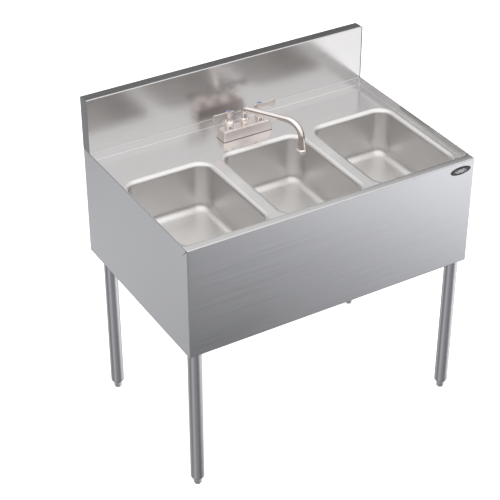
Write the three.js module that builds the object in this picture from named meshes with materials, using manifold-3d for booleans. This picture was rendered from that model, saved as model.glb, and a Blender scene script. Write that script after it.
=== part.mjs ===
// Three compartment underbar sink with a deck faucet, in millimetres, +Z up, +Y to the wall behind.
// The frame's origin is the middle of the footprint, on the floor.
import * as THREE from 'three';
import { mergeVertices } from 'three/addons/utils/BufferGeometryUtils.js';
import Module from 'manifold-3d';

// ---- driving dimensions ----------------------------------------------------------------------
const WIDTH = 914.4;            // left side to right side
const DEPTH = 606;              // apron front to splash back, without the badge
const RIM_Z = 819;              // working height, the top of the rim
const SPLASH_Z = 986;           // top of the backsplash
const SPLASH_DEPTH = 39;        // backsplash box, front to back
const APRON_HEIGHT = 343;
const DECK_DROP = 25.4;         // deck surface below the rim
const FRONT_RIM = 25;           // flat strip along the front
const SHEET = 1.2;              // gauge of the sheet metal
const GAP = 0.05;               // between pieces that are welded or pressed flat together
const HEM = 8;                  // turned-in bottom edge of the apron and side panels

const BOWL_PITCH = 304.8;
const BOWL_WIDTH = 278;         // outline of the rolled mouth in the deck
const BOWL_LENGTH = 378;
const BOWL_DEPTH = 152.4;
const BOWL_FRONT = 41;          // from the apron front to the mouth
const BOWL_CORNER = 52;
const MOUTH_RADIUS = 12;
const COVE_RADIUS = 25;
const DECK_COVE = 6;

const DRAIN_HOLE = 22;
const DRAIN_FLANGE = 31;
const DRAIN_BORE = 18;
const DRAIN_PIPE = 20.5;
const DRAIN_LENGTH = 62;
const DRAIN_NUT = 32;

const LEG_SIDE_INSET = 29;      // leg axis from the sink's side
const LEG_FRONT_INSET = 28.4;
const LEG_BACK_INSET = 70.8;
const LEG_RADIUS = 19.4;
const LEG_WALL = 1.5;
const LEG_TOP = 619.5;
const SOCKET_DEPTH = 45;
const GUSSET_Z = 620;
const GUSSET_THICK = 3;
const GUSSET_SIZE = 74;
const FOOT_HEIGHT = 16;
const FOOT_HEX = 11.5;          // across corners, as a radius
const TAPER_TOP = 28;
const STUD_RADIUS = 6.2;
const STUD_BORE = 6.5;

const FAUCET_BACK = 489;        // faucet axis behind the apron front
const VALVE_OFFSET = 50.8;
const BASE_LENGTH = 165;
const BASE_DEPTH = 47;
const BASE_HEIGHT = 29;
const BASE_TAPER = 6;
const GASKET_THICK = 1;
const SHANK_RADIUS = 10.3;
const DECK_HOLE = 12;
const STEM_RADIUS = 4.5;

const SPOUT_RADIUS = 9.3;
const SPOUT_BORE = 8.1;
const SPOUT_YAW = -68;          // degrees from +X, where the spout stands at rest
const SPOUT_RISE = 6;           // degrees above level along the arm
const SPOUT_REACH = 203.2;
const ELBOW_HEIGHT = 78.5;      // where riser and arm would meet, above the deck
const ELBOW_RADIUS = 14;
const DROP_RADIUS = 47;

const BADGE_X = 410;
const BADGE_Z = 792;
const BADGE_WIDTH = 69;
const BADGE_HEIGHT = 25;
const BADGE_THICK = 1.5;

// ---- levels and lines worked out from them ----------------------------------------------------
const LEFT = -WIDTH / 2;
const RIGHT = WIDTH / 2;
const FRONT = (BADGE_THICK - DEPTH) / 2;
const BACK = (BADGE_THICK + DEPTH) / 2;
const FAUCET_Y = FRONT + FAUCET_BACK;
const APRON_Z = RIM_Z - APRON_HEIGHT;
const DECK_Z = RIM_Z - DECK_DROP;
const DECK_UNDER = DECK_Z - SHEET;
const SPLASH_Y = BACK - SPLASH_DEPTH;
const FLOOR_Z = DECK_Z - BOWL_DEPTH;
const BOWL_Y = FRONT + BOWL_FRONT + BOWL_LENGTH / 2;
const LEG_X = RIGHT - LEG_SIDE_INSET;
const LEG_FRONT_Y = FRONT + LEG_FRONT_INSET;
const LEG_BACK_Y = BACK - LEG_BACK_INSET;
const BASE_Z = DECK_Z + GASKET_THICK + GAP;
const BASE_TOP = BASE_Z + BASE_HEIGHT;

// ---- finishes --------------------------------------------------------------------------------
const FINISHES = {
  brushed: { color: 0xb4b5b8, roughness: 0.36, metalness: 1 },
  panel: { color: 0xa9abb0, roughness: 0.42, metalness: 1 },
  tube: { color: 0xaeb0b4, roughness: 0.3, metalness: 1 },
  chrome: { color: 0xd8d2ce, roughness: 0.08, metalness: 1 },
  brass: { color: 0xb08d4c, roughness: 0.35, metalness: 1 },
  rubber: { color: 0x242426, roughness: 0.85, metalness: 0 },
  plastic: { color: 0xd9d8d2, roughness: 0.5, metalness: 0 },
  index: { color: 0x5f74a8, roughness: 0.35, metalness: 0 },
  badge: { color: 0x141416, roughness: 0.3, metalness: 0 },
};

const part = new THREE.Group();
const wasm = await Module();
wasm.setup();

function addNode(name, solid, finish) {
  const mesh = new THREE.Mesh(toGeometry(solid), new THREE.MeshStandardMaterial(FINISHES[finish]));
  mesh.name = name;
  part.add(mesh);
}

// ---- solids ----------------------------------------------------------------------------------
function signedVolume(points, triangles) {
  const corner = (i) => new THREE.Vector3().fromArray(points, 3 * i);
  let total = 0;
  for (let i = 0; i < triangles.length; i += 3) {
    const [a, b, c] = [triangles[i], triangles[i + 1], triangles[i + 2]].map(corner);
    total += a.dot(b.cross(c));
  }
  return total;
}

function toSolid(geometry) {
  const bare = geometry.clone();
  bare.deleteAttribute('normal');
  bare.deleteAttribute('uv');
  const welded = mergeVertices(bare, 1e-4);
  const points = welded.attributes.position.array;
  const kept = [];
  for (let i = 0; i < welded.index.count; i += 3) {
    const [a, b, c] = welded.index.array.subarray(i, i + 3);
    if (a !== b && b !== c && c !== a) kept.push(a, b, c);
  }
  if (signedVolume(points, kept) < 0) kept.reverse();
  return new wasm.Manifold(new wasm.Mesh({
    numProp: 3,
    vertProperties: Float32Array.from(points),
    triVerts: Uint32Array.from(kept),
  }));
}

function toGeometry(solid) {
  const mesh = solid.getMesh();
  const geometry = new THREE.BufferGeometry();
  const count = mesh.vertProperties.length / mesh.numProp;
  const points = new Float32Array(3 * count);
  for (let i = 0; i < count; i++) {
    for (let k = 0; k < 3; k++) points[3 * i + k] = mesh.vertProperties[mesh.numProp * i + k];
  }
  geometry.setAttribute('position', new THREE.BufferAttribute(points, 3));
  geometry.setIndex(new THREE.BufferAttribute(Uint32Array.from(mesh.triVerts), 1));
  const flat = geometry.toNonIndexed();
  flat.computeVertexNormals();
  return flat;
}

// A box between two opposite corners.
function box(x, y, z) {
  const geometry = new THREE.BoxGeometry(x[1] - x[0], y[1] - y[0], z[1] - z[0]);
  geometry.translate((x[0] + x[1]) / 2, (y[0] + y[1]) / 2, (z[0] + z[1]) / 2);
  return toSolid(geometry);
}

// A profile of [radius, height] turned about the vertical line through x, y.
function turned(profile, x, y, segments = 24) {
  const points = profile.map(([r, z]) => new THREE.Vector2(r, z));
  const geometry = new THREE.LatheGeometry(points, segments);
  geometry.rotateX(Math.PI / 2);
  geometry.translate(x, y, 0);
  return toSolid(geometry);
}

// A ring or tube about the vertical line through x, y.
function ring(inner, outer, low, high, x, y, segments = 24) {
  const profile = [[inner, low], [outer, low], [outer, high], [inner, high], [inner, low]];
  return turned(profile, x, y, segments);
}

function disc(radius, low, high, x, y, segments = 24) {
  return turned([[0, low], [radius, low], [radius, high], [0, high]], x, y, segments);
}

// Rings of equally many points joined by quads; the ends are capped, or joined if `looped`.
function loft(rings, looped = false) {
  const count = rings[0].length;
  const points = rings.flat();
  const index = [];
  const joined = looped ? rings.length : rings.length - 1;
  for (let k = 0; k < joined; k++) {
    const low = k * count;
    const high = ((k + 1) % rings.length) * count;
    for (let i = 0; i < count; i++) {
      const j = (i + 1) % count;
      index.push(low + i, low + j, high + j, low + i, high + j, high + i);
    }
  }
  if (!looped) {
    for (const [start, turn] of [[0, -1], [(rings.length - 1) * count, 1]]) {
      const rim = points.slice(start, start + count);
      const centre = [0, 1, 2].map((k) => rim.reduce((sum, p) => sum + p[k], 0) / count);
      const hub = points.push(centre) - 1;
      for (let i = 0; i < count; i++) {
        const pair = [start + i, start + ((i + 1) % count)];
        if (turn < 0) pair.reverse();
        index.push(hub, ...pair);
      }
    }
  }
  const geometry = new THREE.BufferGeometry();
  geometry.setAttribute('position', new THREE.Float32BufferAttribute(points.flat(), 3));
  geometry.setIndex(index);
  return toSolid(geometry);
}

// Points of a rectangle with round corners, at one height.
function roundedRing(x, y, halfX, halfY, radius, z, steps = 5) {
  const points = [];
  for (let corner = 0; corner < 4; corner++) {
    const signX = corner === 0 || corner === 3 ? 1 : -1;
    const signY = corner < 2 ? 1 : -1;
    for (let k = 0; k <= steps; k++) {
      const angle = (corner + k / steps) * Math.PI / 2;
      points.push([
        x + signX * (halfX - radius) + radius * Math.cos(angle),
        y + signY * (halfY - radius) + radius * Math.sin(angle),
        z,
      ]);
    }
  }
  return points;
}

// A flat outline in the XZ plane, thickened along Y about the plane y.
function plateAcrossY(outline, y, thickness) {
  const shape = new THREE.Shape(outline.map(([x, z]) => new THREE.Vector2(x, z)));
  const geometry = new THREE.ExtrudeGeometry(shape, { depth: thickness, bevelEnabled: false });
  geometry.rotateX(Math.PI / 2);
  geometry.translate(0, y + thickness / 2, 0);
  return toSolid(geometry);
}

function hexagon(radius, low, high, x, y) {
  const geometry = new THREE.CylinderGeometry(radius, radius, high - low, 6);
  geometry.rotateX(Math.PI / 2);
  geometry.translate(x, y, (low + high) / 2);
  return toSolid(geometry);
}

// ---- sheet metal body -------------------------------------------------------------------------
// Insets and heights down one side of a basin: rolled mouth, wall, cove, floor.
function basinProfile(mouth, cove, inset, depth, steps = 4) {
  const profile = [];
  for (let k = 0; k <= steps; k++) {
    const angle = k / steps * Math.PI / 2;
    profile.push([mouth * Math.sin(angle), mouth * Math.cos(angle) - MOUTH_RADIUS]);
  }
  const centre = COVE_RADIUS - depth;
  for (let k = 0; k <= steps; k++) {
    const angle = k / steps * Math.PI / 2;
    profile.push([inset + COVE_RADIUS - cove * Math.cos(angle), centre - cove * Math.sin(angle)]);
  }
  return profile;
}

function bowlRings(x, profile) {
  return profile.map(([inset, z]) => roundedRing(
    x, BOWL_Y, BOWL_WIDTH / 2 - inset, BOWL_LENGTH / 2 - inset,
    Math.max(BOWL_CORNER - inset, 8), DECK_Z + z,
  ));
}

function bowlShell(x) {
  const inner = basinProfile(MOUTH_RADIUS, COVE_RADIUS, MOUTH_RADIUS, BOWL_DEPTH);
  const outer = basinProfile(MOUTH_RADIUS - SHEET, COVE_RADIUS + SHEET, MOUTH_RADIUS, BOWL_DEPTH);
  const shell = loft(bowlRings(x, [...outer.reverse(), ...inner]));
  return shell.subtract(disc(DRAIN_HOLE, FLOOR_Z - 10, FLOOR_Z + 10, x, BOWL_Y));
}

function bowlHole(x) {
  const outline = (z) => roundedRing(
    x, BOWL_Y, BOWL_WIDTH / 2 + GAP, BOWL_LENGTH / 2 + GAP, BOWL_CORNER + GAP, z,
  );
  return loft([outline(DECK_UNDER - 1), outline(DECK_Z + 1)]);
}

function deckPan() {
  const side = RIGHT - SHEET - GAP;
  const wallFront = FRONT + FRONT_RIM;
  const tray = box([-side, side], [wallFront - SHEET, SPLASH_Y + SHEET], [DECK_UNDER, RIM_Z]);
  const hollow = (inset, z) => roundedRing(
    0, (wallFront + SPLASH_Y) / 2, side - SHEET - inset, (SPLASH_Y - wallFront) / 2 - inset,
    DECK_COVE + 1 - inset, z, 3,
  );
  const rings = [0, 1, 2, 3, 4].map((step) => {
    const angle = step * Math.PI / 8;
    return hollow(DECK_COVE * (1 - Math.cos(angle)), DECK_Z + DECK_COVE * (1 - Math.sin(angle)));
  });
  rings.unshift(hollow(0, RIM_Z + 5));
  const rim = box([LEFT, RIGHT], [FRONT, wallFront - SHEET / 2], [RIM_Z - SHEET, RIM_Z]);
  let pan = tray.subtract(loft(rings)).add(rim);
  for (const x of bowlCentres()) pan = pan.subtract(bowlHole(x));
  for (const x of [-VALVE_OFFSET, VALVE_OFFSET]) {
    pan = pan.subtract(disc(DECK_HOLE, DECK_UNDER - 1, DECK_Z + 1, x, FAUCET_Y));
  }
  return pan;
}

function bowlCentres() {
  return [-BOWL_PITCH, 0, BOWL_PITCH];
}

function frontApron() {
  const panel = box([LEFT, RIGHT], [FRONT, FRONT + SHEET], [APRON_Z, RIM_Z - SHEET - GAP]);
  const inner = RIGHT - SHEET - GAP;
  return panel.add(box([-inner, inner], [FRONT, FRONT + HEM], [APRON_Z, APRON_Z + SHEET]));
}

// `side` is -1 on the left and 1 on the right.
function sidePanel(side) {
  const face = side * RIGHT;
  const span = (thickness) => [face, face - side * thickness].sort((a, b) => a - b);
  const start = FRONT + SHEET + GAP;
  const end = BACK - 1.5;
  const rimEnd = FRONT + FRONT_RIM;
  const front = box(span(SHEET), [start, rimEnd], [APRON_Z, RIM_Z - SHEET - GAP]);
  const back = box(span(SHEET), [rimEnd - GAP, end], [APRON_Z, RIM_Z]);
  const hem = box(span(HEM), [FRONT + HEM + GAP, end], [APRON_Z, APRON_Z + SHEET]);
  return front.add(back).add(hem);
}

function splashEnd(side) {
  const face = side * RIGHT;
  const span = [face, face - side * SHEET].sort((a, b) => a - b);
  return box(span, [SPLASH_Y, BACK], [RIM_Z + GAP, SPLASH_Z]);
}

function splashPanel() {
  const side = RIGHT - SHEET - GAP;
  const face = SPLASH_Y + SHEET + GAP;
  const front = box([-side, side], [face, face + SHEET], [DECK_Z + 5, SPLASH_Z]);
  const top = box([-side, side], [face, BACK], [SPLASH_Z - SHEET, SPLASH_Z]);
  const back = box([-side, side], [BACK - SHEET, BACK], [RIM_Z + 90, SPLASH_Z]);
  return front.add(top).add(back);
}

function rearRail() {
  const side = RIGHT - SHEET - GAP;
  const y = BACK - 3;
  const web = box([-side, side], [y - SHEET, y], [APRON_Z + SHEET + GAP, APRON_Z + 50]);
  const foot = box([-side + HEM, side - HEM], [y - 30, y], [APRON_Z + SHEET + GAP, APRON_Z + 2.5]);
  const lip = box([-side, side], [y - 30, y], [APRON_Z + 50 - SHEET, APRON_Z + 50]);
  return web.add(foot).add(lip);
}

function badge() {
  const outline = [];
  for (let k = 0; k < 32; k++) {
    const angle = k / 16 * Math.PI;
    outline.push([
      BADGE_X + BADGE_WIDTH / 2 * Math.cos(angle),
      BADGE_Z + BADGE_HEIGHT / 2 * Math.sin(angle),
    ]);
  }
  return plateAcrossY(outline, FRONT - BADGE_THICK / 2, BADGE_THICK);
}

// ---- drains ----------------------------------------------------------------------------------
function drainBody(x) {
  const top = FLOOR_Z + GAP;
  return turned([
    [DRAIN_BORE, top - DRAIN_LENGTH], [DRAIN_PIPE, top - DRAIN_LENGTH], [DRAIN_PIPE, top],
    [DRAIN_FLANGE, top], [DRAIN_FLANGE - 1, top + 1.2], [DRAIN_BORE + 3, top + 1.6],
    [DRAIN_BORE, top - 2], [DRAIN_BORE, top - DRAIN_LENGTH],
  ], x, BOWL_Y);
}

function drainGasket(x) {
  const top = FLOOR_Z - SHEET - GAP;
  return ring(DRAIN_PIPE + 0.3, DRAIN_NUT - 2, top - 3, top, x, BOWL_Y);
}

function drainLocknut(x) {
  const top = FLOOR_Z - SHEET - GAP - 3 - GAP;
  const body = hexagon(DRAIN_NUT, top - 9, top, x, BOWL_Y);
  return body.subtract(disc(DRAIN_PIPE + 0.1, top - 10, top + 1, x, BOWL_Y));
}

// ---- legs ------------------------------------------------------------------------------------
function leg(x, y) {
  return ring(LEG_RADIUS - LEG_WALL, LEG_RADIUS, TAPER_TOP, LEG_TOP, x, y);
}

// A gusset plate against the panels with a sleeve under it that takes the leg.
function legSocket(x, y) {
  const side = Math.sign(x);
  const inner = RIGHT - SHEET - GAP;
  const spanX = [side * inner, side * (inner - GUSSET_SIZE)].sort((a, b) => a - b);
  const atFront = y < 0;
  const spanY = atFront
    ? [FRONT + SHEET + GAP, FRONT + SHEET + GAP + GUSSET_SIZE]
    : [y - GUSSET_SIZE / 2, y + GUSSET_SIZE / 2];
  const plate = box(spanX, spanY, [GUSSET_Z, GUSSET_Z + GUSSET_THICK]);
  const flangeX = [side * inner, side * (inner - GUSSET_THICK)].sort((a, b) => a - b);
  const flange = box(flangeX, spanY, [GUSSET_Z - SOCKET_DEPTH, GUSSET_Z + 1]);
  const sleeve = ring(
    LEG_RADIUS + 0.2, LEG_RADIUS + 3, GUSSET_Z - SOCKET_DEPTH, GUSSET_Z + 1, x, y,
  );
  return plate.add(flange).add(sleeve);
}

function legInsert(x, y) {
  const top = TAPER_TOP + 32;
  return turned([
    [STUD_BORE, FOOT_HEIGHT + GAP], [FOOT_HEX, FOOT_HEIGHT + GAP],
    [LEG_RADIUS - 0.4, TAPER_TOP - GAP - 1.5], [LEG_RADIUS - 0.4, TAPER_TOP - GAP],
    [LEG_RADIUS - LEG_WALL - 0.1, TAPER_TOP - GAP], [LEG_RADIUS - LEG_WALL - 0.1, top],
    [STUD_BORE, top], [STUD_BORE, FOOT_HEIGHT + GAP],
  ], x, y);
}

function foot(x, y) {
  const nut = hexagon(FOOT_HEX, 0, FOOT_HEIGHT, x, y);
  const stud = disc(STUD_RADIUS, FOOT_HEIGHT - 1, FOOT_HEIGHT + 58, x, y, 20);
  return nut.add(stud);
}

// ---- faucet ----------------------------------------------------------------------------------
function baseRings(shrink, low, high, crown) {
  const slope = BASE_TAPER / BASE_HEIGHT;
  const at = (z, extra = 0) => roundedRing(
    0, FAUCET_Y,
    BASE_LENGTH / 2 - shrink - slope * (z - BASE_Z) - extra,
    BASE_DEPTH / 2 - shrink - slope * (z - BASE_Z) - extra,
    Math.max(5 - shrink - extra, 0.8), z, 3,
  );
  const rings = [at(low)];
  for (let k = 0; k <= 3; k++) {
    const angle = k / 3 * Math.PI / 2;
    rings.push(at(high - crown + crown * Math.sin(angle), crown * (1 - Math.cos(angle))));
  }
  return crown > 0 ? rings : [at(low), at(high)];
}

function faucetBase() {
  const wall = 3;
  let base = loft(baseRings(0, BASE_Z, BASE_TOP, 2));
  base = base.subtract(loft(baseRings(wall, BASE_Z - 1, BASE_TOP - wall, 0)));
  for (const x of [-VALVE_OFFSET, VALVE_OFFSET]) {
    base = base.subtract(disc(STEM_RADIUS + 1, BASE_TOP - 5, BASE_TOP + 1, x, FAUCET_Y));
  }
  return base.subtract(disc(SPOUT_BORE, BASE_TOP - 5, BASE_TOP + 1, 0, FAUCET_Y));
}

function faucetGasket() {
  const outline = (z) => roundedRing(
    0, FAUCET_Y, BASE_LENGTH / 2 - 1, BASE_DEPTH / 2 - 1, 4, z, 3,
  );
  let gasket = loft([outline(DECK_Z + GAP / 2), outline(DECK_Z + GASKET_THICK)]);
  for (const x of [-VALVE_OFFSET, VALVE_OFFSET]) {
    gasket = gasket.subtract(disc(DECK_HOLE, DECK_Z - 1, DECK_Z + 2, x, FAUCET_Y));
  }
  return gasket;
}

function inletShank(x) {
  return ring(6.5, SHANK_RADIUS, DECK_UNDER - 42, BASE_TOP - 3 - GAP, x, FAUCET_Y, 20);
}

function shankWasher(x) {
  const top = DECK_UNDER - GAP;
  return ring(SHANK_RADIUS + 0.3, 17, top - 2, top, x, FAUCET_Y, 20);
}

function shankLocknut(x) {
  const top = DECK_UNDER - GAP - 2 - GAP;
  const body = hexagon(16.5, top - 8, top, x, FAUCET_Y);
  return body.subtract(disc(SHANK_RADIUS + 0.1, top - 9, top + 1, x, FAUCET_Y, 20));
}

function bonnet(x) {
  const base = BASE_TOP + GAP;
  const bore = STEM_RADIUS + 0.25;
  return turned([
    [bore, base], [13.2, base], [13, base + 12], [13.6, base + 16], [15.8, base + 19],
    [15.8, base + 21.5], [12.5, base + 23.6], [7.4, base + 25.6], [6.8, base + 28.5],
    [bore, base + 28.5], [bore, base],
  ], x, FAUCET_Y);
}

function stem(x) {
  const rod = disc(STEM_RADIUS, BASE_TOP - 4, DECK_Z + 73, x, FAUCET_Y, 20);
  return rod.subtract(disc(1.9, DECK_Z + 62, DECK_Z + 74, x, FAUCET_Y, 12));
}

// Blade and stub, as [distance outward from the handle's axis, height above the deck].
const BLADE = [
  [3, 82.4], [26, 82.8], [45, 83.8], [50, 82.6], [52.2, 78], [52.6, 71.5], [50.5, 64],
  [46, 59.4], [40, 58.6], [34, 61], [27, 65.4], [20, 69], [12, 70], [3, 70],
];
const STUB = [[-3, 70], [-8, 69], [-13, 68.8], [-16.4, 71], [-18.3, 76], [-17, 81], [-13, 83], [-3, 82.4]];

function handle(side) {
  const x = side * VALVE_OFFSET;
  const outline = [...BLADE, ...STUB].map(([out, up]) => [x + side * out, DECK_Z + up]);
  const blade = plateAcrossY(outline, FAUCET_Y, 4);
  const hub = turned([
    [0, DECK_Z + 61], [5.6, DECK_Z + 61], [5.4, DECK_Z + 64], [6.4, DECK_Z + 70],
    [8.4, DECK_Z + 80], [8.4, DECK_Z + 83.5], [7.6, DECK_Z + 84.2], [0, DECK_Z + 84.2],
  ], x, FAUCET_Y, 20);
  const seat = disc(7, DECK_Z + 82, DECK_Z + 86, x, FAUCET_Y, 20);
  const socket = disc(STEM_RADIUS + 0.05, DECK_Z + 60, DECK_Z + 73.1, x, FAUCET_Y, 20);
  const screwHole = disc(2, DECK_Z + 72, DECK_Z + 83, x, FAUCET_Y, 12);
  return hub.add(blade).subtract(seat).subtract(socket).subtract(screwHole);
}

function indexCap(x) {
  return ring(3, 6.9, DECK_Z + 82 + GAP, DECK_Z + 85.2, x, FAUCET_Y, 20);
}

function handleScrew(x) {
  const head = DECK_Z + 82 + GAP;
  return turned([
    [0, DECK_Z + 64], [1.7, DECK_Z + 64], [1.7, head], [2.7, head], [2.7, head + 1.6],
    [1.6, head + 2.2], [0, head + 2.2],
  ], x, FAUCET_Y, 16);
}

function spoutNut() {
  const base = BASE_TOP + GAP;
  return turned([
    [SPOUT_RADIUS + 0.15, base], [11.2, base], [11.4, base + 8], [12.6, base + 12],
    [12.6, base + 17], [13.5, base + 18.4], [13.5, base + 20.6], [SPOUT_RADIUS + 2, base + 22],
    [SPOUT_RADIUS + 0.15, base + 22], [SPOUT_RADIUS + 0.15, base],
  ], 0, FAUCET_Y);
}

// Centre line of the spout as [reach, height above the deck, heading in radians].
function spoutLine() {
  const rise = THREE.MathUtils.degToRad(SPOUT_RISE);
  const elbowTangent = ELBOW_RADIUS * Math.tan((Math.PI / 2 - rise) / 2);
  const dropTangent = DROP_RADIUS * Math.tan((Math.PI / 2 + rise) / 2);
  const corner = ELBOW_HEIGHT + SPOUT_REACH * Math.tan(rise);
  const line = [[0, BASE_TOP + 1 - DECK_Z, Math.PI / 2]];
  const bend = (radius, startReach, startHeight, from, to, steps) => {
    const centreReach = startReach + radius * Math.sin(from);
    const centreHeight = startHeight - radius * Math.cos(from);
    for (let k = 0; k <= steps; k++) {
      const heading = from + (to - from) * k / steps;
      line.push([
        centreReach - radius * Math.sin(heading), centreHeight + radius * Math.cos(heading), heading,
      ]);
    }
  };
  bend(ELBOW_RADIUS, 0, ELBOW_HEIGHT - elbowTangent, Math.PI / 2, rise, 5);
  bend(
    DROP_RADIUS, SPOUT_REACH - dropTangent * Math.cos(rise), corner - dropTangent * Math.sin(rise),
    rise, -Math.PI / 2, 9,
  );
  line.push([SPOUT_REACH, 9, -Math.PI / 2]);
  return line;
}

// Points of a circle across the spout at one place on its centre line.
function spoutSection([reach, height, heading], radius, segments = 16) {
  const yaw = THREE.MathUtils.degToRad(SPOUT_YAW);
  const points = [];
  for (let k = 0; k < segments; k++) {
    const angle = k / segments * 2 * Math.PI;
    const across = radius * Math.cos(angle);
    const up = radius * Math.sin(angle);
    const out = reach - up * Math.sin(heading);
    points.push([
      out * Math.cos(yaw) - across * Math.sin(yaw),
      FAUCET_Y + out * Math.sin(yaw) + across * Math.cos(yaw),
      DECK_Z + height + up * Math.cos(heading),
    ]);
  }
  return points;
}

function spoutTube() {
  const line = spoutLine();
  const outside = line.map((place) => spoutSection(place, SPOUT_RADIUS));
  const inside = line.map((place) => spoutSection(place, SPOUT_BORE)).reverse();
  return loft([...outside, ...inside], true);
}

function outletXY() {
  const yaw = THREE.MathUtils.degToRad(SPOUT_YAW);
  return [SPOUT_REACH * Math.cos(yaw), FAUCET_Y + SPOUT_REACH * Math.sin(yaw)];
}

function aeratorHousing() {
  const base = DECK_Z + 5;
  return turned([
    [10.6, base], [12.6, base], [13.3, base + 1], [13.3, base + 10.5], [11.6, base + 13],
    [SPOUT_RADIUS + 0.1, base + 13], [SPOUT_RADIUS + 0.1, base + 3.9], [10.6, base + 3.9],
    [10.6, base],
  ], ...outletXY());
}

function aeratorInsert() {
  const [x, y] = outletXY();
  let insert = disc(10.5, DECK_Z + 5.8, DECK_Z + 8.6, x, y, 24);
  for (let k = 0; k < 7; k++) {
    const angle = k / 6 * 2 * Math.PI;
    const reach = k === 6 ? 0 : 6;
    const hole = disc(
      1.6, DECK_Z + 5, DECK_Z + 10, x + reach * Math.cos(angle), y + reach * Math.sin(angle), 8,
    );
    insert = insert.subtract(hole);
  }
  return insert;
}

// ---- assembly --------------------------------------------------------------------------------
addNode('deck_pan', deckPan(), 'brushed');
addNode('front_apron', frontApron(), 'panel');
addNode('left_side_panel', sidePanel(-1), 'panel');
addNode('right_side_panel', sidePanel(1), 'panel');
addNode('splash_panel', splashPanel(), 'brushed');
addNode('left_splash_end', splashEnd(-1), 'panel');
addNode('right_splash_end', splashEnd(1), 'panel');
addNode('rear_rail', rearRail(), 'panel');
addNode('name_badge', badge(), 'badge');

bowlCentres().forEach((x, i) => {
  const place = ['left', 'center', 'right'][i];
  addNode(`${place}_bowl`, bowlShell(x), 'brushed');
  addNode(`${place}_drain_body`, drainBody(x), 'chrome');
  addNode(`${place}_drain_gasket`, drainGasket(x), 'rubber');
  addNode(`${place}_drain_locknut`, drainLocknut(x), 'brass');
});

for (const [row, y] of [['front', LEG_FRONT_Y], ['back', LEG_BACK_Y]]) {
  for (const [place, x] of [['left', -LEG_X], ['right', LEG_X]]) {
    addNode(`${row}_${place}_leg`, leg(x, y), 'tube');
    addNode(`${row}_${place}_leg_socket`, legSocket(x, y), 'panel');
    addNode(`${row}_${place}_leg_insert`, legInsert(x, y), 'tube');
    addNode(`${row}_${place}_foot`, foot(x, y), 'tube');
  }
}

addNode('faucet_base', faucetBase(), 'chrome');
addNode('faucet_gasket', faucetGasket(), 'rubber');
for (const [place, side] of [['left', -1], ['right', 1]]) {
  const x = side * VALVE_OFFSET;
  addNode(`${place}_inlet_shank`, inletShank(x), 'brass');
  addNode(`${place}_shank_washer`, shankWasher(x), 'plastic');
  addNode(`${place}_shank_locknut`, shankLocknut(x), 'brass');
  addNode(`${place}_bonnet`, bonnet(x), 'chrome');
  addNode(`${place}_stem`, stem(x), 'brass');
  addNode(`${place}_handle`, handle(side), 'chrome');
  addNode(`${place}_index_cap`, indexCap(x), 'index');
  addNode(`${place}_handle_screw`, handleScrew(x), 'chrome');
}
addNode('spout_nut', spoutNut(), 'chrome');
addNode('spout_tube', spoutTube(), 'chrome');
addNode('aerator_housing', aeratorHousing(), 'chrome');
addNode('aerator_insert', aeratorInsert(), 'plastic');

export default part;
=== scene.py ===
"""Looks of a three compartment underbar sink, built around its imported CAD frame, in metres."""
import math

import bmesh
import bpy
from mathutils import Matrix, Vector


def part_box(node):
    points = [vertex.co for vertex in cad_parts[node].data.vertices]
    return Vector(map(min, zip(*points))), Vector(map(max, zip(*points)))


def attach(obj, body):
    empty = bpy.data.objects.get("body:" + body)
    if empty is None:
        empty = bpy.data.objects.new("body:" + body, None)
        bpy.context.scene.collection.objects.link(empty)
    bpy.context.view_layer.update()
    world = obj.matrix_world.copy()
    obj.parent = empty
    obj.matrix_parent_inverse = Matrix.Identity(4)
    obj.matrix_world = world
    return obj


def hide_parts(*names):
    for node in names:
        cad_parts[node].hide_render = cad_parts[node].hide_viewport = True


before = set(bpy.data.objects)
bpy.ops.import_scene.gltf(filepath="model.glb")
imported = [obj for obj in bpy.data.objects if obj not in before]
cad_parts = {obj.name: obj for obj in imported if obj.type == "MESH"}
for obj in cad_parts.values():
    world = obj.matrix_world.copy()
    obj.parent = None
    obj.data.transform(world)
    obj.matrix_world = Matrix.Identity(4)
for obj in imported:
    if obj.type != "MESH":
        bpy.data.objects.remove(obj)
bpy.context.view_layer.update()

# ---- levels and places, from the frame ----
SHEET = 0.0012
SEAM = 0.00005
SINK = "sink"
deck_low, deck_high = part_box("deck_pan")
splash_low, splash_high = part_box("splash_panel")
base_low, base_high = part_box("faucet_base")
LEFT = deck_low.x
RIGHT = deck_high.x
FRONT = deck_low.y
BACK = splash_high.y
RIM_Z = deck_high.z
DECK_Z = deck_low.z + SHEET
APRON_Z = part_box("front_apron")[0].z
SPLASH_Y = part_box("left_splash_end")[0].y
SIDE_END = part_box("left_side_panel")[1].y
SPLASH_Z = splash_high.z
RIM_DEPTH = 0.025
RIM_SLOPE = math.tan(math.radians(2.3))
WALL_Y = FRONT + RIM_DEPTH
WALL_X = RIGHT - 2 * SHEET - SEAM
FAUCET = Vector(((base_low.x + base_high.x) / 2, (base_low.y + base_high.y) / 2, DECK_Z))
BASINS = ("left", "center", "right")
SIDES = ("left", "right")

# Outside radii of the folds, widths of hems and small edges, and a small clearance.
FOLD = 0.0022
CORNER_FOLD = 0.0026
HEM_ROUND = 0.0017
HEM_WIDTH = 0.008
EDGE = 0.0004
SHEET_EDGE = 0.0003
TOUCH = 0.0001

# Radii and corners of the tray and the bowls, and the holes in them.
DECK_COVE = 0.0011
TRAY_CORNER = 0.016
TRAY_BACK_CORNER = 0.003
MOUTH_ROLL = 0.012
BOWL_COVE = 0.025
BOWL_CORNER = 0.052
SPLASH_FALL = 0.0018
DRAIN_HOLE = 0.022
SHANK_HOLE = 0.012


# ---- mesh helpers ----
def arc(start, end, steps):
    """Angles from start to end, in radians from degrees."""
    return [math.radians(start + (end - start) * k / steps) for k in range(steps + 1)]


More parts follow.
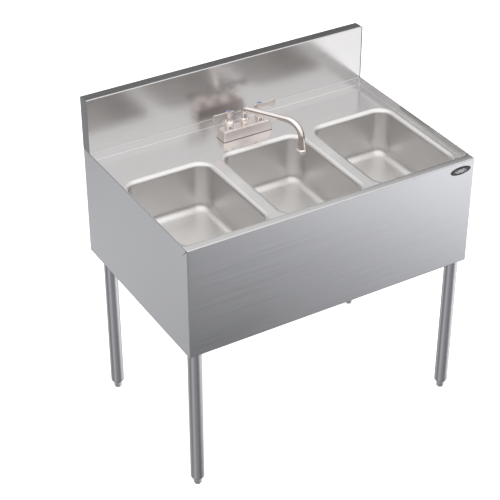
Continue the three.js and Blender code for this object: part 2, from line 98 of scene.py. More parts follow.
def arc_points(out, up, radius, start, end, steps, rise=None):
    """Section points on an arc about (out, up); rise is its upright radius where that differs."""
    rise = radius if rise is None else rise
    return [(out + radius * math.cos(a), up + rise * math.sin(a)) for a in arc(start, end, steps)]


def grid_faces(rows, columns, closed=False, flip=False, first=0):
    """Quads between rows of equally many points; closed rows join their last point to their first."""
    faces = []
    for row in range(rows - 1):
        for i in range(columns if closed else columns - 1):
            j = (i + 1) % columns
            low = first + row * columns
            high = low + columns
            quad = (low + i, high + i, high + j, low + j)
            faces.append(quad[::-1] if flip else quad)
    return faces


def loft(rows, closed=True, capped=False, flip=False):
    """Points and faces of a surface through rows of equally many points, its two ends capped or open."""
    count = len(rows[0])
    points = [p for row in rows for p in row]
    faces = grid_faces(len(rows), count, closed, flip)
    if capped:
        faces.append(tuple(range(count)))
        faces.append(tuple(range(len(points) - count, len(points))))
    return points, faces


def rounded_outline(low, high, inset, radius, z, steps, back_radius=None):
    """Points counterclockwise round a rectangle drawn in by inset, its round back corners first."""
    points = []
    back = radius if back_radius is None else back_radius
    x0, y0 = low[0] + inset, low[1] + inset
    x1, y1 = high[0] - inset, high[1] - inset
    centres = ((x1 - back, y1 - back, back), (x0 + back, y1 - back, back),
               (x0 + radius, y0 + radius, radius), (x1 - radius, y0 + radius, radius))
    for turn, (x, y, r) in enumerate(centres):
        for angle in arc(turn * 90, turn * 90 + 90, steps):
            points.append(Vector((x + r * math.cos(angle), y + r * math.sin(angle), z)))
    return points


def circle(x, y, radius, z, count):
    """Points counterclockwise round a level circle."""
    angles = [2 * math.pi * k / count for k in range(count)]
    return [Vector((x + radius * math.cos(a), y + radius * math.sin(a), z)) for a in angles]


def smooth_outline(corners, steps=4):
    """A closed smooth curve through the corners."""
    points = []
    count = len(corners)
    for i in range(count):
        p = [Vector(corners[(i + k) % count]) for k in (-1, 0, 1, 2)]
        for step in range(steps):
            t = step / steps
            points.append(0.5 * (
                2 * p[1] + (p[2] - p[0]) * t + (2 * p[0] - 5 * p[1] + 4 * p[2] - p[3]) * t ** 2
                + (3 * p[1] - p[0] - 3 * p[2] + p[3]) * t ** 3))
    return points


def new_object(name, points, faces):
    """A mesh object in the scene."""
    mesh = bpy.data.meshes.new(name)
    mesh.from_pydata([tuple(p) for p in points], [], faces)
    mesh.validate()
    piece = bpy.data.objects.new(name, mesh)
    bpy.context.scene.collection.objects.link(piece)
    return piece


def edit(piece, change):
    """Runs change on the piece's bmesh."""
    shape = bmesh.new()
    shape.from_mesh(piece.data)
    change(shape)
    shape.to_mesh(piece.data)
    shape.free()


def face_outward(shape):
    """Joins points that meet and turns all faces to the outside."""
    bmesh.ops.remove_doubles(shape, verts=shape.verts, dist=1e-6)
    bmesh.ops.recalc_face_normals(shape, faces=shape.faces)


def sheet_piece(name, points, faces, toward, thickness=SHEET, even=True):
    """A surface whose faces look mostly toward a direction, thickened behind them."""
    piece = new_object(name, points, faces)

    def turn_faces(shape):
        face_outward(shape)
        seen = sum(face.normal.dot(Vector(toward)) * face.calc_area() for face in shape.faces)
        if seen < 0:
            bmesh.ops.reverse_faces(shape, faces=shape.faces)

    edit(piece, turn_faces)
    thicken(piece, thickness, even)
    return piece


def thicken(piece, thickness=SHEET, even=True):
    """Gives a surface its sheet thickness, behind the side that its faces look to."""
    solid = piece.modifiers.new("thickness", "SOLIDIFY")
    solid.thickness = thickness
    solid.offset = -1
    solid.use_even_offset = even


def soften(piece, width=EDGE, segments=2, angle=40):
    """Rounds the sharp edges."""
    bevel = piece.modifiers.new("edges", "BEVEL")
    bevel.width = width
    bevel.segments = segments
    bevel.limit_method = "ANGLE"
    bevel.angle_limit = math.radians(angle)


def settle(piece, smooth_angle=40):
    """Makes the modifiers final, then shades smooth except across real edges."""
    bpy.context.view_layer.update()
    final = piece.evaluated_get(bpy.context.evaluated_depsgraph_get())
    mesh = bpy.data.meshes.new_from_object(final)
    piece.modifiers.clear()
    piece.data = mesh
    mesh.shade_smooth()
    mesh.set_sharp_from_angle(angle=math.radians(smooth_angle))
    weighted = piece.modifiers.new("shading", "WEIGHTED_NORMAL")
    weighted.keep_sharp = True


def hand_over(piece, body, slot, material, *nodes):
    """Finishes a piece: its material, the body it rides on, and the CAD nodes it stands for."""
    settle(piece)
    piece.data.materials.clear()
    piece.data.materials.append(material)
    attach(piece, body)
    if nodes:
        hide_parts(*nodes)
    return piece


def solid_piece(name, points, faces, width=EDGE):
    """A closed body, its edges rounded by width."""
    piece = new_object(name, points, faces)
    edit(piece, face_outward)
    if width:
        soften(piece, width)
    return piece


def lathe(name, profile, x, y, count=48, width=0.0):
    """A closed profile of (radius, height) turned about the vertical line through x, y."""
    rows = [circle(x, y, max(radius, 1e-5), z, count) for radius, z in profile]
    ring = profile[0] == profile[-1]
    points, faces = loft(rows, capped=not ring)
    if ring:
        points = points[:-count]
        faces = [tuple(i % len(points) for i in face) for face in faces]
    return solid_piece(name, points, faces, width)


def extrude(name, outline, offset, width=EDGE):
    """A closed flat outline, moved by offset to make a solid."""
    count = len(outline)
    points = [Vector(p) for p in outline] + [Vector(p) + Vector(offset) for p in outline]
    faces = grid_faces(2, count, closed=True)
    faces.append(tuple(range(count)))
    faces.append(tuple(range(2 * count - 1, count - 1, -1)))
    return solid_piece(name, points, faces, width)


def block(name, low, high, width=EDGE):
    """A box between two corners."""
    outline = [(low[0], low[1], low[2]), (high[0], low[1], low[2]),
               (high[0], high[1], low[2]), (low[0], high[1], low[2])]
    return extrude(name, outline, (0, 0, high[2] - low[2]), width)


def join(piece, *others):
    """Adds the other pieces' meshes to the piece, with their modifiers made final."""
    bpy.context.view_layer.update()
    shape = bmesh.new()
    for one in (piece, *others):
        final = one.evaluated_get(bpy.context.evaluated_depsgraph_get())
        mesh = bpy.data.meshes.new_from_object(final)
        shape.from_mesh(mesh)
    piece.modifiers.clear()
    shape.to_mesh(piece.data)
    shape.free()
    for one in others:
        bpy.data.objects.remove(one)
    return piece


def middle(node):
    """The middle of a CAD node's box."""
    low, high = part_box(node)
    return (low + high) / 2


# ---- node helpers ----
class Nodes:
    """A short way to write a node tree."""

    def __init__(self, tree):
        self.tree = tree
        tree.nodes.clear()

    def add(self, kind, **settings):
        node = self.tree.nodes.new(kind)
        for key, value in settings.items():
            setattr(node, key, value)
        return node

    def link(self, source, target):
        self.tree.links.new(source, target)

    def put(self, socket, value):
        if isinstance(value, bpy.types.NodeSocket):
            self.link(value, socket)
        else:
            socket.default_value = value

    def math(self, operation, a, b=0.0):
        node = self.add("ShaderNodeMath", operation=operation)
        self.put(node.inputs[0], a)
        self.put(node.inputs[1], b)
        return node.outputs[0]

    def plus(self, a, b):
        return self.math("ADD", a, b)

    def times(self, a, b):
        return self.math("MULTIPLY", a, b)

    def ramp(self, value, low, high, to_low=0.0, to_high=1.0, smooth=False):
        node = self.add("ShaderNodeMapRange", interpolation_type="SMOOTHSTEP" if smooth else "LINEAR")
        self.put(node.inputs[0], value)
        for index, number in enumerate((low, high, to_low, to_high)):
            self.put(node.inputs[index + 1], number)
        return node.outputs[0]

    def step(self, value, low, high, to_low=0.0, to_high=1.0):
        """A ramp with soft ends."""
        return self.ramp(value, low, high, to_low, to_high, smooth=True)

    def between(self, share, a, b):
        """A number that goes from a to b."""
        node = self.add("ShaderNodeMix", data_type="FLOAT")
        for index, number in ((0, share), (2, a), (3, b)):
            self.put(node.inputs[index], number)
        return node.outputs[0]

    def bump(self, height, strength, distance):
        node = self.add("ShaderNodeBump")
        node.inputs["Strength"].default_value = strength
        node.inputs["Distance"].default_value = distance
        self.link(height, node.inputs["Height"])
        return node.outputs[0]

    def mix(self, share, a, b):
        node = self.add("ShaderNodeMix", data_type="RGBA")
        self.put(node.inputs[0], share)
        for index, colour in ((6, a), (7, b)):
            self.put(node.inputs[index], colour)
        return node.outputs[2]

    def noise(self, scale, stretch=(1, 1, 1), detail=3.0):
        place = self.add("ShaderNodeTexCoord")
        mapping = self.add("ShaderNodeMapping")
        mapping.inputs["Scale"].default_value = stretch
        texture = self.add("ShaderNodeTexNoise")
        texture.inputs["Scale"].default_value = scale
        texture.inputs["Detail"].default_value = detail
        self.link(place.outputs["Object"], mapping.inputs[0])
        self.link(mapping.outputs[0], texture.inputs["Vector"])
        return texture.outputs["Fac"]


def shader(name):
    """A new material with one Principled shader."""
    material = bpy.data.materials.new(name)
    material.use_nodes = True
    nodes = Nodes(material.node_tree)
    principled = nodes.add("ShaderNodeBsdfPrincipled")
    output = nodes.add("ShaderNodeOutputMaterial")
    nodes.link(principled.outputs[0], output.inputs[0])
    return material, nodes, principled


def shade(colour, factor):
    """The colour made lighter or darker, with full alpha."""
    return tuple(channel * factor for channel in colour) + (1.0,)


# ---- materials ----
FINE_SCRATCHES = 900.0
COARSE_SCRATCHES = 260.0
SCRATCH_STRETCH = 0.012


def brushed_steel(name, colour, roughness, grain):
    """Satin stainless sheet: fine straight scratches along the grain, soft clouding, small marks."""
    material, nodes, principled = shader(name)
    stretch = [SCRATCH_STRETCH if axis == grain else 1.0 for axis in "xyz"]
    fine = nodes.noise(FINE_SCRATCHES, stretch)
    streaks = nodes.noise(COARSE_SCRATCHES, stretch)
    clouds = nodes.noise(4.0, detail=2.0)
    marks = nodes.noise(55.0, detail=4.0)
    share = nodes.plus(nodes.times(streaks, 0.6), nodes.times(fine, 0.4))
    tint = nodes.mix(nodes.ramp(share, 0.35, 0.65), shade(colour, 0.975), shade(colour, 1.02))
    nodes.link(tint, principled.inputs["Base Color"])
    rough = nodes.ramp(share, 0.3, 0.7, roughness - 0.015, roughness + 0.02)
    haze = nodes.ramp(clouds, 0.35, 0.7, -0.008, 0.012)
    wear = nodes.ramp(marks, 0.62, 0.75, 0.0, 0.02)
    nodes.link(nodes.plus(nodes.plus(rough, haze), wear), principled.inputs["Roughness"])
    nodes.link(nodes.bump(share, 0.12, 0.00001), principled.inputs["Normal"])
    principled.inputs["Metallic"].default_value = 1.0
    return material


def polished_metal(name, colour, roughness, swirl=0.01):
    """Plated or machined metal with faint wipe marks in its gloss."""
    material, nodes, principled = shader(name)
    wipes = nodes.noise(60.0, (1, 1, 2.5), 4.0)
    spots = nodes.noise(380.0, detail=2.0)
    tint = nodes.mix(nodes.ramp(wipes, 0.3, 0.7), shade(colour, 0.96), shade(colour, 1.03))
    nodes.link(tint, principled.inputs["Base Color"])
    gloss = nodes.ramp(wipes, 0.35, 0.7, roughness, roughness + swirl)
    water = nodes.ramp(spots, 0.66, 0.74, 0.0, swirl)
    nodes.link(nodes.plus(gloss, water), principled.inputs["Roughness"])
    principled.inputs["Metallic"].default_value = 1.0
    return material


def moulded(name, colour, roughness, bump_scale=900.0, bump_depth=0.05):
    """Rubber or plastic with a fine surface and slight unevenness."""
    material, nodes, principled = shader(name)
    grain = nodes.noise(bump_scale, detail=2.0)
    clouds = nodes.noise(45.0)
    tint = nodes.mix(nodes.ramp(clouds, 0.3, 0.7), shade(colour, 0.88), shade(colour, 1.1))
    nodes.link(tint, principled.inputs["Base Color"])
    rough = nodes.ramp(clouds, 0.3, 0.7, roughness - 0.04, roughness + 0.05)
    nodes.link(rough, principled.inputs["Roughness"])
    nodes.link(nodes.bump(grain, bump_depth, 0.0002), principled.inputs["Normal"])
    return material


DECK_STEEL = brushed_steel("brushed_deck", (0.70, 0.69, 0.69), 0.22, "x")
BOWL_STEEL = brushed_steel("brushed_bowl", (0.725, 0.71, 0.70), 0.38, "y")
# Painted shade: the front rim strip's steel is a darker copy of the deck's, standing in for the darker
# reflection along the strip.
RIM_STEEL_PAINTED_SHADE = brushed_steel("brushed_rim_painted_shade", (0.65, 0.64, 0.64), 0.10, "x")
SPLASH_STEEL = brushed_steel("brushed_splash", (0.665, 0.655, 0.655), 0.22, "x")
PANEL_STEEL = brushed_steel("brushed_panel", (0.60, 0.605, 0.635), 0.22, "x")
SIDE_STEEL = brushed_steel("brushed_side", (0.60, 0.605, 0.632), 0.22, "y")
# Painted shade: the splash end plates get the panels' steel at about half its colour, standing in for the
# shade on those ends.
END_STEEL_PAINTED_SHADE = brushed_steel("brushed_end_painted_shade", (0.29, 0.293, 0.307), 0.22, "y")
TUBE_STEEL = brushed_steel("brushed_tube", (0.60, 0.605, 0.635), 0.24, "z")
CHROME = polished_metal("bright_chrome", (0.82, 0.755, 0.725), 0.06)
BASE_CHROME = polished_metal("base_chrome", (0.80, 0.735, 0.705), 0.38, 0.03)
SATIN_CHROME = polished_metal("satin_chrome", (0.78, 0.715, 0.685), 0.30, 0.03)
# Painted light: the aerator's chrome is a lighter copy of the faucet's chrome, standing in for light falling
# on its band.
OUTLET_CHROME_PAINTED_LIGHT = polished_metal("outlet_chrome_painted_light", (0.96, 0.895, 0.86), 0.42, 0.03)
BRASS = polished_metal("turned_brass", (0.62, 0.45, 0.20), 0.3, 0.08)
SILVER = polished_metal("silver_print", (0.75, 0.75, 0.76), 0.3, 0.05)
RUBBER = moulded("black_rubber", (0.020, 0.020, 0.022), 0.75)
WHITE_PLASTIC = moulded("moulded_white", (0.70, 0.70, 0.66), 0.45)
INDEX_BLUE = moulded("moulded_blue", (0.20, 0.26, 0.46), 0.28, 500.0, 0.02)
BADGE_BLACK = moulded("gloss_black", (0.010, 0.010, 0.011), 0.18, 500.0, 0.01)


# ---- sheet metal body ----
def tray():
    """The sunken deck: upturned walls, a small cove, and the flat with its three bowl holes."""
    def ring(inset, z):
        corner = TRAY_CORNER - inset
        back_corner = max(TRAY_BACK_CORNER - inset, 0.0004)
        return rounded_outline((-WALL_X, WALL_Y), (WALL_X, SPLASH_Y), inset, corner, z, 8, back_corner)

    rows = [ring(0, RIM_Z - FOLD)]
    for angle in arc(0, 90, 5):
        rise = DECK_COVE * (1 - math.sin(angle))
        rows.append(ring(DECK_COVE * (1 - math.cos(angle)), DECK_Z + rise))
    count = len(rows[0])
    piece = new_object("deck_tray", *loft(rows, flip=True))

    def fill_deck(shape):
        shape.verts.ensure_lookup_table()
        loops = [list(shape.verts)[-count:]]
        for place in BASINS:
            bowl_low, bowl_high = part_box(place + "_bowl")
            outline = rounded_outline(bowl_low, bowl_high, -SEAM, BOWL_CORNER + SEAM, DECK_Z, 12)
            loops.append([shape.verts.new(p) for p in outline])
        for side in SIDES:
            shank = middle(side + "_inlet_shank")
            loops.append([shape.verts.new(p) for p in circle(shank.x, shank.y, SHANK_HOLE, DECK_Z, 24)])
        edges = []
        for loop in loops:
            for one, two in zip(loop, loop[1:] + loop[:1]):
                edges.append(shape.edges.get((one, two)) or shape.edges.new((one, two)))
        filled = bmesh.ops.triangle_fill(shape, edges=edges, use_beauty=True, normal=(0, 0, 1))
        for face in filled["geom"]:
            if isinstance(face, bmesh.types.BMFace) and face.normal.z < 0:
                face.normal_flip()

    edit(piece, fill_deck)
    back_edge = extrude("back_edge", back_edge_profile(), (2 * (WALL_X - EDGE), 0, 0), 0.0)
    thicken(piece)
    join(piece, back_edge)
    soften(piece, SHEET_EDGE)
    return hand_over(piece, SINK, "bowl_steel", DECK_STEEL, "deck_pan")


def back_edge_profile():
    """Section of the tray's back wall where it stands above the fold, its top edge rounded."""
    round_edge = 0.0009
    section = [(SPLASH_Y, RIM_Z - FOLD)]
    section += arc_points(SPLASH_Y + round_edge, RIM_Z - round_edge, round_edge, 180, 0, 6)
    section.append((SPLASH_Y + 2 * round_edge, RIM_Z - FOLD))
    return [(EDGE - WALL_X, y, z) for y, z in section]


def front_path(inset, z, depth):
    """Plan of the front fold at one level: back along the left side, round both corners, and back."""
    radius = CORNER_FOLD - inset
    points = [Vector((LEFT + inset, FRONT + depth, z))]
    corner = arc_points(LEFT + CORNER_FOLD, FRONT + CORNER_FOLD, radius, 180, 270, 5)
    points += [Vector((x, y, z)) for x, y in corner]
    mirrored = [Vector((-p.x, p.y, p.z)) for p in reversed(points)]
    return points + mirrored


def rim_cap():
    """The strip along the front, folded down in front, at its ends and into the tray it falls to."""
    rows = []
    for angle in arc(0, 90, 5):
        inset = FOLD * (1 - math.cos(angle))
        rows.append(front_path(inset, RIM_Z - FOLD + FOLD * math.sin(angle), RIM_DEPTH))
    outer = len(rows[0])
    points, faces = loft(rows, closed=False, flip=True)
    first_inner = len(points)
    inner_rows = []
    for angle in arc(90, 0, 5):
        outset = FOLD * (1 - math.cos(angle))
        inner_rows.append(tray_front(outset, RIM_Z - FOLD + FOLD * math.sin(angle)))
    inner = len(inner_rows[0])
    half = inner // 2
    points += [p for row in inner_rows for p in row]
    faces += grid_faces(len(inner_rows), inner, first=first_inner)
    left_step = len(points)
    points += [Vector((-WALL_X + SEAM, WALL_Y, RIM_Z)), Vector((WALL_X - SEAM, WALL_Y, RIM_Z))]
    for point in points:
        lift = (point.z - RIM_Z + FOLD) / FOLD
        point.z -= lift * RIM_SLOPE * (point.y - FRONT)
    left_top = list(range(first_inner - outer, first_inner - outer // 2))
    right_top = list(range(first_inner - outer // 2, first_inner))
    left_fold = list(range(first_inner + half - 1, first_inner - 1, -1))
    right_fold = list(range(first_inner + inner - 1, first_inner + half - 1, -1))
    faces.append((left_top[-1], right_top[0], right_fold[-1], left_fold[0]))
    faces += fan(left_top[-1], left_fold + [left_step])
    faces += fan(right_top[0], [left_step + 1] + right_fold)
    faces.append(tuple(left_top + [left_step]))
    faces.append(tuple([left_step + 1] + right_top[::-1]))
    piece = sheet_piece("front_rim_cap", points, faces, (0, 0, 1), SHEET - TOUCH, even=False)
    soften(piece, SHEET_EDGE)
    # The strip takes the darkened rim steel, which is painted shade.
    return hand_over(piece, SINK, "bowl_steel", RIM_STEEL_PAINTED_SHADE, "deck_pan")


def fan(centre, rim):
    """Triangles from one point to each stretch of a line of points."""
    return [(centre, one, two) for one, two in zip(rim, rim[1:])]


def tray_front(outset, z):
    """The tray's front wall line from left to right round both corners, moved outward, at one level."""
    radius = TRAY_CORNER + outset
    limit = WALL_X - SEAM
    points = []
    for angle in arc(180, 270, 8):
        points.append(Vector((max(-WALL_X + TRAY_CORNER + radius * math.cos(angle), -limit),
                              WALL_Y + TRAY_CORNER + radius * math.sin(angle), z)))
    return points + [Vector((-p.x, p.y, p.z)) for p in reversed(points)]


def apron():
    """The deep front panel, bent round both front corners, with a turned-in bottom edge."""
    end = CORNER_FOLD + TOUCH
    rows = [front_path(0.0, z, end) for z in (APRON_Z + FOLD, RIM_Z - FOLD)]
    for angle in arc(0, 90, 4):
        inset = FOLD * (1 - math.cos(angle))
        rows.insert(0, front_path(inset, APRON_Z + FOLD - FOLD * math.sin(angle), end))
    points, faces = loft(rows, closed=False)
    piece = sheet_piece("apron_sheet", points, faces, (0, -1, 0))
    hem = block("apron_hem", (LEFT + 2 * FOLD, FRONT + FOLD * 0.8, APRON_Z),
                (RIGHT - 2 * FOLD, FRONT + HEM_WIDTH, APRON_Z + SHEET), 0.0002)
    join(piece, hem)
    soften(piece, SHEET_EDGE)
    return hand_over(piece, SINK, "panel_steel", PANEL_STEEL, "front_apron")


def side_sheet(side):
    """A side panel: the flat, the rounded edge that folds over the deck's wall, and the hem below."""
    face = RIGHT * side
    inward = -side
    start = FRONT + CORNER_FOLD + 2 * TOUCH
    seam_top = RIM_Z - FOLD
    seam_run = 0.0215
    seam_foot = seam_top - 0.0225
    seam_gap = 0.0004
    outline = [
        (start, APRON_Z), (SIDE_END, APRON_Z), (SIDE_END, RIM_Z), (SPLASH_Y, RIM_Z), (SPLASH_Y, seam_top),
        (start + 0.002, seam_top), (start + seam_run, seam_foot),
        (start + seam_run - seam_gap, seam_foot - seam_gap), (start, seam_top - 0.001),
    ]
    flat = extrude("flat", [(face, y, z) for y, z in outline], (inward * SHEET, 0, 0), 0.0)
    inner = 2 * SHEET + SEAM
    small = inner - HEM_ROUND
    profile = [(0.0, seam_top)]
    profile += arc_points(HEM_ROUND, RIM_Z - HEM_ROUND, HEM_ROUND, 180, 90, 5)
    profile += arc_points(inner - small, RIM_Z - small, small, 90, 0, 4)
    profile.append((inner, seam_top))
    edge = extrude("edge", [(face + inward * x, WALL_Y + 0.0005, z) for x, z in profile],
                   (0, SPLASH_Y - WALL_Y - 0.0006, 0), 0.0)
    hem_low, hem_high = sorted((face, face + inward * HEM_WIDTH))
    hem = block("hem", (hem_low, FRONT + 0.009, APRON_Z), (hem_high, SIDE_END, APRON_Z + SHEET), 0.0)
    name = "left" if side < 0 else "right"
    flat.name = name + "_side_sheet"
    join(flat, edge, hem)
    soften(flat, 0.00035, 2, 50)
    return hand_over(flat, SINK, "panel_steel", SIDE_STEEL, name + "_side_panel")


def splash():
    """The backsplash sheet: up the front, over the top and down the back, with round folds."""
    face = splash_low.y + 0.0005
    back_foot = RIM_Z + 0.090
    profile = [(face, splash_low.z), (face, SPLASH_Z - FOLD)]
    profile += arc_points(face + FOLD, SPLASH_Z - FOLD, FOLD, 180, 90, 6)
    profile += arc_points(BACK - FOLD, SPLASH_Z - SPLASH_FALL - FOLD, FOLD, 90, 0, 6)
    profile.append((BACK, back_foot))
    side = WALL_X + SHEET
    rows = [[Vector((x, y, z)) for x in (-side, side)] for y, z in profile]
    points, faces = loft(rows, closed=False)
    piece = sheet_piece("splash_sheet", points, faces, (0, -1, 1))
    soften(piece, SHEET_EDGE)
    return hand_over(piece, SINK, "bowl_steel", SPLASH_STEEL, "splash_panel")


def splash_plate(side):
    """A flat end plate of the backsplash, its top corners eased."""
    name = "left" if side < 0 else "right"
    low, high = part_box(name + "_splash_end")
    ease = 0.0012
    outline = [(low.y, low.z), (high.y, low.z)]
    outline += arc_points(high.y - ease, high.z - SPLASH_FALL - ease, ease, 0, 90, 3)
    outline += arc_points(low.y + ease, high.z - ease, ease, 90, 180, 3)
    piece = extrude(name + "_splash_plate", [(low.x, y, z) for y, z in outline], (high.x - low.x, 0, 0))
    # The end plate takes the darkened end steel, which is painted shade.
    return hand_over(piece, SINK, "panel_steel", END_STEEL_PAINTED_SHADE, name + "_splash_end")


def rear_channel():
    """The rail that ties the side panels at the back, a channel open to the front."""
    low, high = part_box("rear_rail")
    profile = [(low.y, low.z), (high.y, low.z), (high.y, high.z), (low.y, high.z),
               (low.y, high.z - SHEET), (high.y - SHEET, high.z - SHEET), (high.y - SHEET, low.z + SHEET),
               (low.y, low.z + SHEET)]
    section = [(low.x, y, z) for y, z in profile]
    piece = extrude("rear_channel", section, (high.x - low.x, 0, 0), SHEET_EDGE)
    return hand_over(piece, SINK, "panel_steel", PANEL_STEEL, "rear_rail")


# ---- bowls and drains ----
def bowl_ring(low, high, inset, z):
    """The bowl's plan at one level, drawn in from its mouth by inset."""
    return rounded_outline(low, high, inset, max(BOWL_CORNER - inset, 0.012), z, 12)


def basin(place):
    """A drawn bowl: mouth rolled over from the deck, wall, cove, and a floor that falls to the drain."""
    low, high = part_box(place + "_bowl")
    floor = low.z + SHEET
    centre = (low + high) / 2
    fall = 0.0016
    rows = []
    for angle in arc(0, 90, 9):
        drop = MOUTH_ROLL * (1 - math.cos(angle))
        rows.append(bowl_ring(low, high, MOUTH_ROLL * math.sin(angle), DECK_Z - drop))
    for angle in arc(0, 86, 9):
        inset = MOUTH_ROLL + BOWL_COVE * (1 - math.cos(angle))
        rows.append(bowl_ring(low, high, inset, floor + fall + BOWL_COVE * (1 - math.sin(angle))))
    last = rows[-1]
    outlet = [Vector((centre.x + DRAIN_HOLE * math.cos(a), centre.y + DRAIN_HOLE * math.sin(a), floor))
              for a in (math.atan2(p.y - centre.y, p.x - centre.x) for p in last)]
    rings = 8
    for step in range(1, rings + 1):
        share = step / rings
        fallen = share ** 0.8
        rows.append([p.lerp(Vector((q.x, q.y, p.z)), share) + Vector((0, 0, (floor - p.z) * fallen))
                     for p, q in zip(last, outlet)])
    points, faces = loft(rows)
    piece = sheet_piece(place + "_basin", points, faces, (0, 0, 1), SHEET * 0.95)
    return hand_over(piece, SINK, "bowl_steel", BOWL_STEEL, place + "_bowl")


def drain(place):
    """The drain's polished flange with its round lip, and the threaded pipe below."""
    low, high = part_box(place + "_drain_body")
    centre = (low + high) / 2
    outer = (high.x - low.x) / 2
    bore = 0.018
    pipe = 0.0205
    floor = high.z - 0.0016
    lip = 0.001
    pitch = 0.0022
    groove = pipe - 0.0007
    profile = [(bore, low.z), (pipe - 0.0006, low.z)]
    for turn in range(int((floor - 0.012 - low.z) / pitch)):
        z = low.z + turn * pitch
        profile += [(groove, z + 0.1 * pitch), (pipe, z + 0.5 * pitch), (groove, z + 0.9 * pitch)]
    profile += [(pipe, floor - 0.010), (pipe, floor), (outer, floor)]
    profile += arc_points(outer - lip, floor, lip, 0, 90, 4)
    profile += [(bore + 0.004, high.z - 0.0001), (bore + 0.003, high.z), (bore + 0.001, high.z - 0.0016),
                (bore, high.z - 0.004), (bore, low.z)]
    piece = lathe(place + "_drain_flange", profile, centre.x, centre.y, 56)
    return hand_over(piece, SINK, "chrome", SATIN_CHROME, place + "_drain_body")


# ---- legs ----
LEG_RADIUS = 0.0194
LEG_WALL = 0.0015
PLATE = 0.003
FOOT_HEIGHT = 0.016
FOOT_CORNER = 0.0115


def leg_tube(corner):
    """A leg's tube, its lower edge eased."""
    low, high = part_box(corner + "_leg")
    centre = (low + high) / 2
    radius = (high.x - low.x) / 2
    ease = 0.0008
    profile = [(radius - LEG_WALL, low.z), (radius - ease, low.z)]
    profile += arc_points(radius - ease, low.z + ease, ease, -90, 0, 3)
    profile += [(radius, high.z), (radius - LEG_WALL, high.z), (radius - LEG_WALL, low.z)]
    piece = lathe(corner + "_tube", profile, centre.x, centre.y, 64)
    return hand_over(piece, SINK, "tube_steel", TUBE_STEEL, corner + "_leg")


def leg_insert(corner):
    """The tapered end of the leg, from the tube's full width down to the foot."""
    low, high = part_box(corner + "_leg_insert")
    tube_low, tube_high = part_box(corner + "_leg")
    centre = (low + high) / 2
    radius = (tube_high.x - tube_low.x) / 2
    bore = 0.0065
    shoulder = tube_low.z - SEAM
    profile = [(bore, low.z), (FOOT_CORNER - 0.0008, low.z), (FOOT_CORNER, low.z + 0.0008)]
    for step in range(7):
        share = step / 6
        bend = share ** 1.35
        profile.append((FOOT_CORNER + (radius - 0.0006 - FOOT_CORNER) * bend,
                        low.z + 0.0010 + (shoulder - 0.0022 - low.z - 0.0010) * share))
    profile += [(radius - 0.0002, shoulder - 0.0012), (radius - 0.0003, shoulder),
                (radius - LEG_WALL - 0.0001, shoulder), (radius - LEG_WALL - 0.0001, high.z), (bore, high.z),
                (bore, low.z)]
    piece = lathe(corner + "_taper", profile, centre.x, centre.y, 64)
    return hand_over(piece, SINK, "tube_steel", TUBE_STEEL, corner + "_leg_insert")


def leg_socket(corner):
    """A gusset plate with its sleeve, and the set screw that holds the leg."""
    low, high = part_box(corner + "_leg_socket")
    leg = middle(corner + "_leg")
    plate = block(corner + "_gusset", (low.x, low.y, high.z - PLATE), (high.x, high.y, high.z), 0.0006)
    outer = low.x if leg.x < 0 else high.x
    flange_low, flange_high = sorted((outer, outer + math.copysign(PLATE, -leg.x)))
    under = high.z - 0.002
    flange = block("flange", (flange_low, low.y, low.z), (flange_high, high.y, under), 0.0006)
    bore = LEG_RADIUS + 0.0002
    wall = LEG_RADIUS + PLATE
    sleeve_profile = [(bore, low.z), (wall, low.z), (wall, under), (bore, under), (bore, low.z)]
    sleeve = lathe("sleeve", sleeve_profile, leg.x, leg.y, 56, EDGE)
    inward = 1 if leg.y < 0 else -1
    head = 0.0042
    screw = lathe("screw", [(0.0, 0.0), (head, 0.0), (head, 0.003), (0.0030, head), (0.0, head)], 0, 0, 20)
    screw.data.transform(Matrix.Rotation(math.radians(-90 * inward), 4, "X"))
    screw.data.transform(Matrix.Translation((leg.x, leg.y + inward * (LEG_RADIUS + 0.0028), low.z + 0.018)))
    join(plate, flange, sleeve, screw)
    return hand_over(plate, SINK, "panel_steel", SIDE_STEEL, corner + "_leg_socket")


def screw_foot(corner):
    """A hexagonal foot with a chamfered bottom, on its threaded stud."""
    low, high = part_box(corner + "_foot")
    centre = (low + high) / 2
    ease = 0.0012
    top = low.z + FOOT_HEIGHT
    rows = []
    for inset, z in ((ease, low.z), (0.0, low.z + ease), (0.0, top - ease * 0.7), (ease * 0.7, top)):
        reach = FOOT_CORNER - inset
        rows.append([Vector((centre.x + reach * math.sin(a), centre.y + reach * math.cos(a), z))
                     for a in (math.radians(60 * k) for k in range(6))])
    points, faces = loft(rows)
    faces += [tuple(range(6)), tuple(range(len(points) - 1, len(points) - 7, -1))]
    foot = solid_piece(corner + "_screw_foot", points, faces, 0.0005)
    stud = 0.0062
    groove = stud - 0.0006
    pitch = 0.0018
    profile = [(0.0, top - 0.001), (groove, top - 0.001)]
    z = top + 0.0004
    while z + pitch < high.z - 0.001:
        profile += [(groove, z), (stud, z + 0.5 * pitch)]
        z += pitch
    profile += [(groove, high.z - 0.0008), (stud - 0.0014, high.z), (0.0, high.z)]
    thread = lathe("thread", profile, centre.x, centre.y, 28)
    join(foot, thread)
    return hand_over(foot, corner + "_bullet_foot", "tube_steel", TUBE_STEEL, corner + "_foot")


# ---- faucet ----
BASE_TAPER = 0.006
STEM = 0.0045


